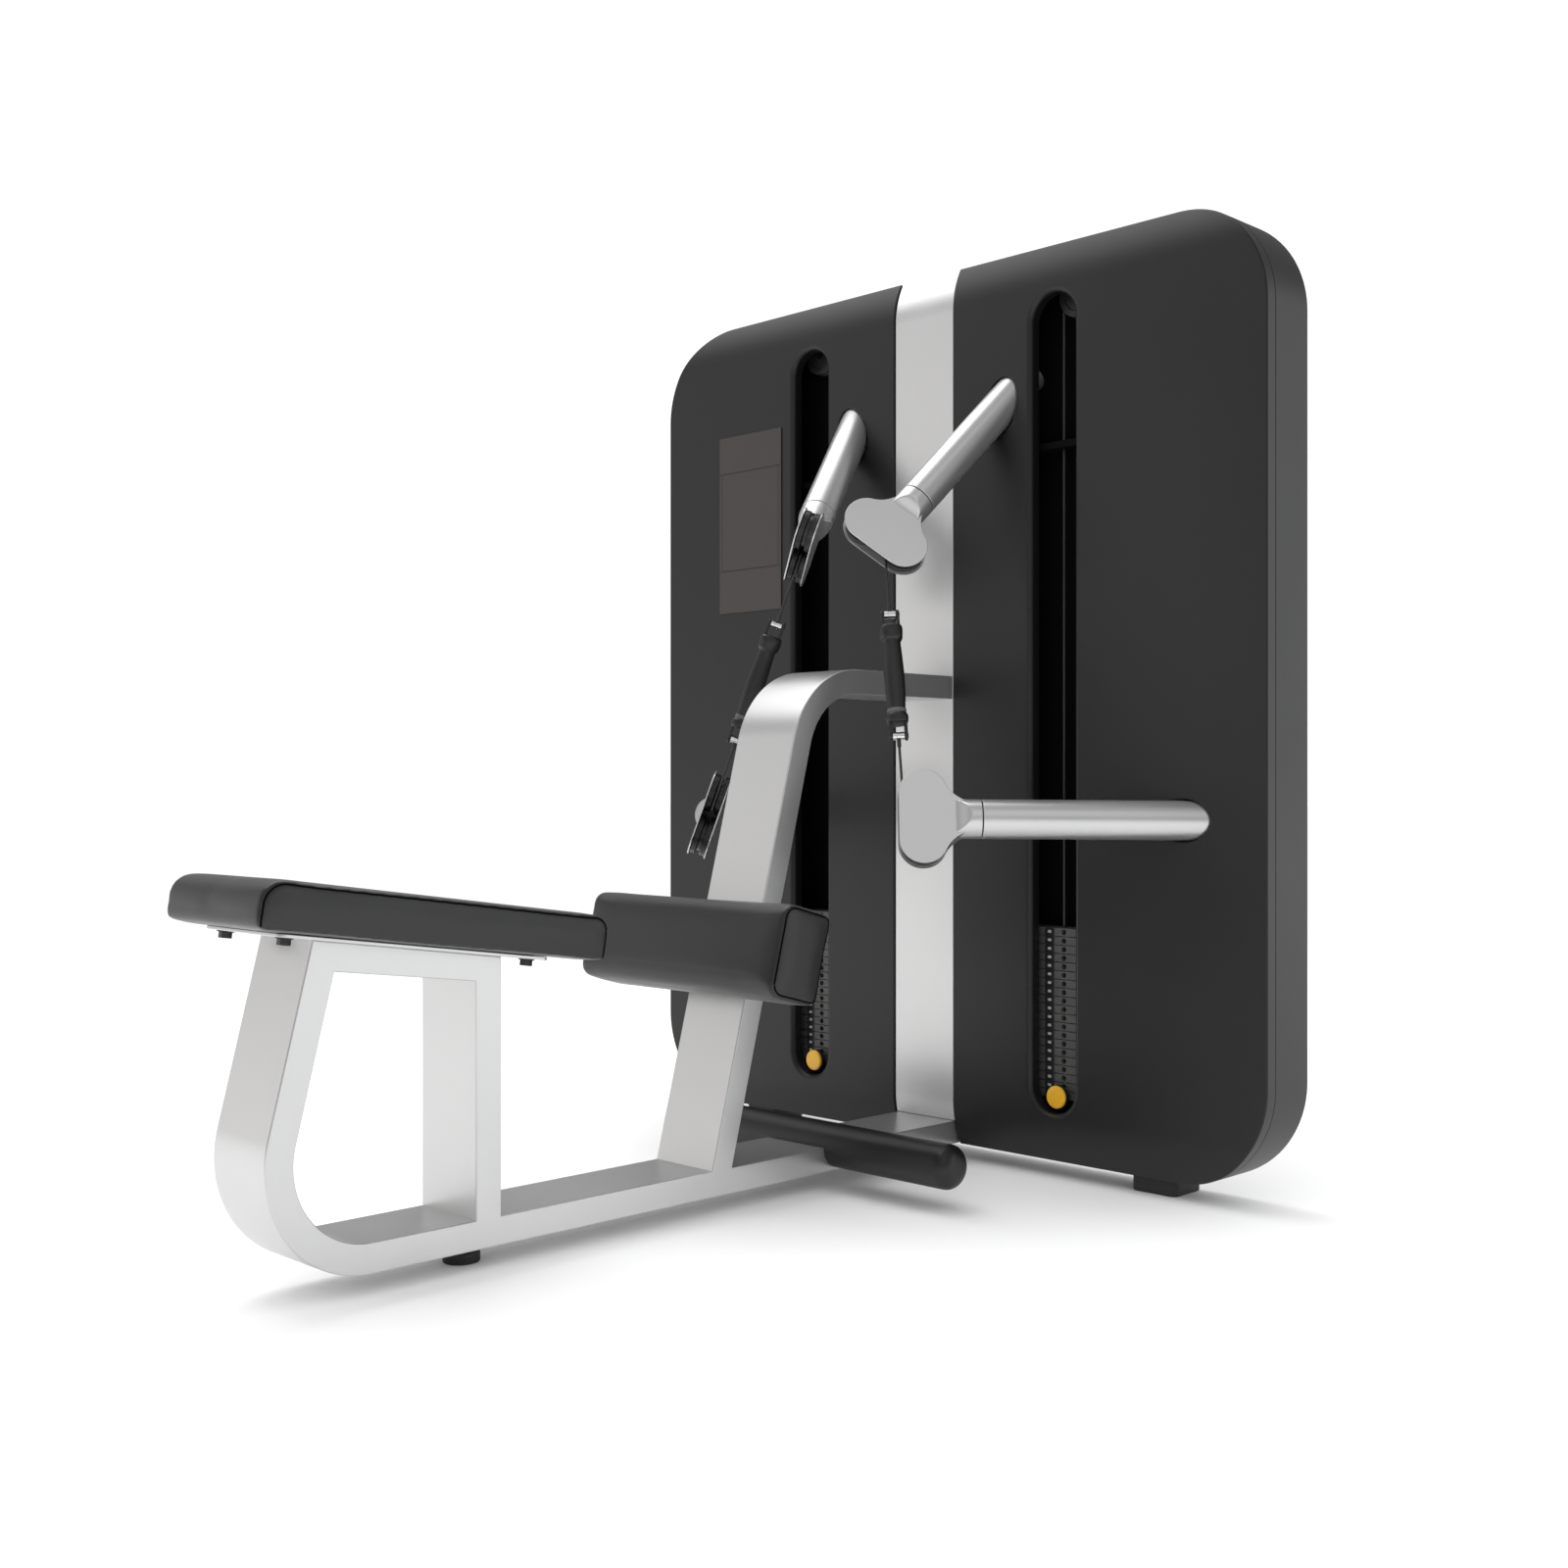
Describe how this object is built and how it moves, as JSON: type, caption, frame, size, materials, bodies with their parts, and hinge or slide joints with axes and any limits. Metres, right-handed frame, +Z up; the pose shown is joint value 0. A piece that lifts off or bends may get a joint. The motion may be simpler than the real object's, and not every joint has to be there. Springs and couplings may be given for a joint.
{
  "type": "seated cable row station",
  "caption": "Seated row and pulldown machine: twin weight stacks in a flat rounded tower, swivelling pulley arms with cable handles, padded bench.",
  "frame": {"origin": "on the floor under the centre of the machine's bounding box", "axes": "+Z up, +X along the tower's width, -Y the way the tower faces, so the bench runs towards -Y"},
  "size_m": [1.774, 1.9317, 2.042],
  "materials": {
    "charcoal_shell": "fine moulded grain, satin",
    "silver_paint": "metallic silver powder coat",
    "cable": "black plastic-coated wire rope",
    "pulley_plastic": "black moulded nylon",
    "black_frame": "black powder coat",
    "grip_rubber": "soft black rubber",
    "upholstery": "black grained vinyl",
    "roller_foam": "dense black foam with a smooth skin",
    "dark_panel": "glossy dark brown acrylic",
    "yellow_knob": "glossy yellow",
    "bright_steel": "bright zinc-plated",
    "black_bolt": "black oxide",
    "plate_iron": "black painted cast iron",
    "foot_rubber": "matt black rubber"
  },
  "bodies": {
    "station": {"base_bar": "silver_paint", "bench_foot": "foot_rubber", "column_strip": "silver_paint", "foot_roller": "roller_foam", "frame_plate": "black_frame", "inclined_column": "silver_paint", "knee_pad": "upholstery", "left_base_foot": "foot_rubber", "left_front_shell": "charcoal_shell", "left_inner_guide_rod": "bright_steel", "left_lower_arm": "silver_paint", "left_outer_guide_rod": "bright_steel", "left_stack_cable": "cable", "left_upper_arm": "silver_paint", "placard_panel": "dark_panel", "rear_cover": "charcoal_shell", "right_base_foot": "foot_rubber", "right_front_shell": "charcoal_shell", "right_inner_guide_rod": "bright_steel", "right_lower_arm": "silver_paint", "right_outer_guide_rod": "bright_steel", "right_stack_cable": "cable", "right_upper_arm": "silver_paint", "seat_bolt_1": "black_bolt", "seat_bolt_2": "black_bolt", "seat_bolt_3": "black_bolt", "seat_bolt_4": "black_bolt", "seat_pad": "upholstery", "seat_plate": "silver_paint", "seat_post": "silver_paint", "seat_rail": "silver_paint", "tail_leg": "silver_paint"},
    "left_handle_run": {"left_handle": "grip_rubber", "left_upper_pin": "bright_steel", "left_lower_pin": "bright_steel", "left_upper_cable": "cable", "left_lower_cable": "cable"},
    "left_upper_head": {"left_upper_fork": "silver_paint"},
    "left_upper_guide_wheel": {"left_upper_guide_pulley": "pulley_plastic"},
    "left_upper_idle_wheel": {"left_upper_idle_pulley": "pulley_plastic"},
    "left_lower_head": {"left_lower_fork": "silver_paint"},
    "left_lower_guide_wheel": {"left_lower_guide_pulley": "pulley_plastic"},
    "left_lower_idle_wheel": {"left_lower_idle_pulley": "pulley_plastic"},
    "left_stack": {"left_weight_stack": "plate_iron"},
    "left_selector": {"left_selector_pin": "yellow_knob"},
    "left_top_wheel": {"left_top_pulley": "pulley_plastic"},
    "right_handle_run": {"right_handle": "grip_rubber", "right_upper_pin": "bright_steel", "right_lower_pin": "bright_steel", "right_upper_cable": "cable", "right_lower_cable": "cable"},
    "right_upper_head": {"right_upper_fork": "silver_paint"},
    "right_upper_guide_wheel": {"right_upper_guide_pulley": "pulley_plastic"},
    "right_upper_idle_wheel": {"right_upper_idle_pulley": "pulley_plastic"},
    "right_lower_head": {"right_lower_fork": "silver_paint"},
    "right_lower_guide_wheel": {"right_lower_guide_pulley": "pulley_plastic"},
    "right_lower_idle_wheel": {"right_lower_idle_pulley": "pulley_plastic"},
    "right_stack": {"right_weight_stack": "plate_iron"},
    "right_selector": {"right_selector_pin": "yellow_knob"},
    "right_top_wheel": {"right_top_pulley": "pulley_plastic"}
  },
  "joints": [
    {"name": "left_handle_slide", "type": "slide", "parent": "station", "child": "left_handle_run", "axis": [0.268, 0.2016, 0.9421], "range_m": [-0.04, 0.034]},
    {"name": "left_upper_swivel", "type": "hinge", "parent": "station", "child": "left_upper_head", "pos_m": [-0.15123, 0.60707, 1.48254], "axis": [0.2392, -0.646, -0.7249], "range_deg": [-5, 5]},
    {"name": "left_upper_guide_spin", "type": "hinge", "parent": "left_upper_head", "child": "left_upper_guide_wheel", "pos_m": [-0.15675, 0.55215, 1.36688], "axis": [0.6979, 0.6334, -0.3341], "continuous": true},
    {"name": "left_upper_idle_spin", "type": "hinge", "parent": "left_upper_head", "child": "left_upper_idle_wheel", "pos_m": [-0.08925, 0.50955, 1.42712], "axis": [0.6979, 0.6334, -0.3341], "continuous": true},
    {"name": "left_lower_swivel", "type": "hinge", "parent": "station", "child": "left_lower_head", "pos_m": [-0.40321, 0.50951, 0.79022], "axis": [0.7052, -0.709, 0.0066], "range_deg": [-5, 5]},
    {"name": "left_lower_guide_spin", "type": "hinge", "parent": "left_lower_head", "child": "left_lower_guide_wheel", "pos_m": [-0.30843, 0.4378, 0.83815], "axis": [-0.6702, -0.6635, 0.3326], "continuous": true},
    {"name": "left_lower_idle_spin", "type": "hinge", "parent": "left_lower_head", "child": "left_lower_idle_wheel", "pos_m": [-0.33157, 0.4139, 0.74385], "axis": [-0.6702, -0.6635, 0.3326], "continuous": true},
    {"name": "left_stack_lift", "type": "slide", "parent": "station", "child": "left_stack", "axis": [0, 0, 1], "range_m": [0, 0.9], "deforming": ["left_stack_cable"]},
    {"name": "left_pin_pull", "type": "slide", "parent": "left_stack", "child": "left_selector", "axis": [0, -1, 0], "range_m": [0, 0.05]},
    {"name": "left_top_spin", "type": "hinge", "parent": "station", "child": "left_top_wheel", "pos_m": [-0.389, 0.87085, 1.93], "axis": [0, 1, 0], "continuous": true},
    {"name": "right_handle_slide", "type": "slide", "parent": "station", "child": "right_handle_run", "axis": [-0.268, 0.2016, 0.9421], "range_m": [-0.04, 0.034]},
    {"name": "right_upper_swivel", "type": "hinge", "parent": "station", "child": "right_upper_head", "pos_m": [0.15123, 0.60707, 1.48254], "axis": [-0.2392, -0.646, -0.7249], "range_deg": [-5, 5]},
    {"name": "right_upper_guide_spin", "type": "hinge", "parent": "right_upper_head", "child": "right_upper_guide_wheel", "pos_m": [0.15675, 0.55215, 1.36688], "axis": [0.6979, -0.6334, 0.3341], "continuous": true},
    {"name": "right_upper_idle_spin", "type": "hinge", "parent": "right_upper_head", "child": "right_upper_idle_wheel", "pos_m": [0.08925, 0.50955, 1.42712], "axis": [0.6979, -0.6334, 0.3341], "continuous": true},
    {"name": "right_lower_swivel", "type": "hinge", "parent": "station", "child": "right_lower_head", "pos_m": [0.40321, 0.50951, 0.79022], "axis": [-0.7052, -0.709, 0.0066], "range_deg": [-5, 5]},
    {"name": "right_lower_guide_spin", "type": "hinge", "parent": "right_lower_head", "child": "right_lower_guide_wheel", "pos_m": [0.30843, 0.4378, 0.83815], "axis": [-0.6702, 0.6635, -0.3326], "continuous": true},
    {"name": "right_lower_idle_spin", "type": "hinge", "parent": "right_lower_head", "child": "right_lower_idle_wheel", "pos_m": [0.33157, 0.4139, 0.74385], "axis": [-0.6702, 0.6635, -0.3326], "continuous": true},
    {"name": "right_stack_lift", "type": "slide", "parent": "station", "child": "right_stack", "axis": [0, 0, 1], "range_m": [0, 0.9], "deforming": ["right_stack_cable"]},
    {"name": "right_pin_pull", "type": "slide", "parent": "right_stack", "child": "right_selector", "axis": [0, -1, 0], "range_m": [0, 0.05]},
    {"name": "right_top_spin", "type": "hinge", "parent": "station", "child": "right_top_wheel", "pos_m": [0.389, 0.87085, 1.93], "axis": [0, 1, 0], "continuous": true}
  ],
  "couplings": [
    {"joint": "left_upper_guide_spin", "follows": "left_handle_slide", "rad_per_m": -25},
    {"joint": "left_lower_guide_spin", "follows": "left_handle_slide", "rad_per_m": 25},
    {"joint": "left_top_spin", "follows": "left_stack_lift", "rad_per_m": -25},
    {"joint": "right_upper_guide_spin", "follows": "right_handle_slide", "rad_per_m": -25},
    {"joint": "right_lower_guide_spin", "follows": "right_handle_slide", "rad_per_m": 25},
    {"joint": "right_top_spin", "follows": "right_stack_lift", "rad_per_m": 25}
  ]
}
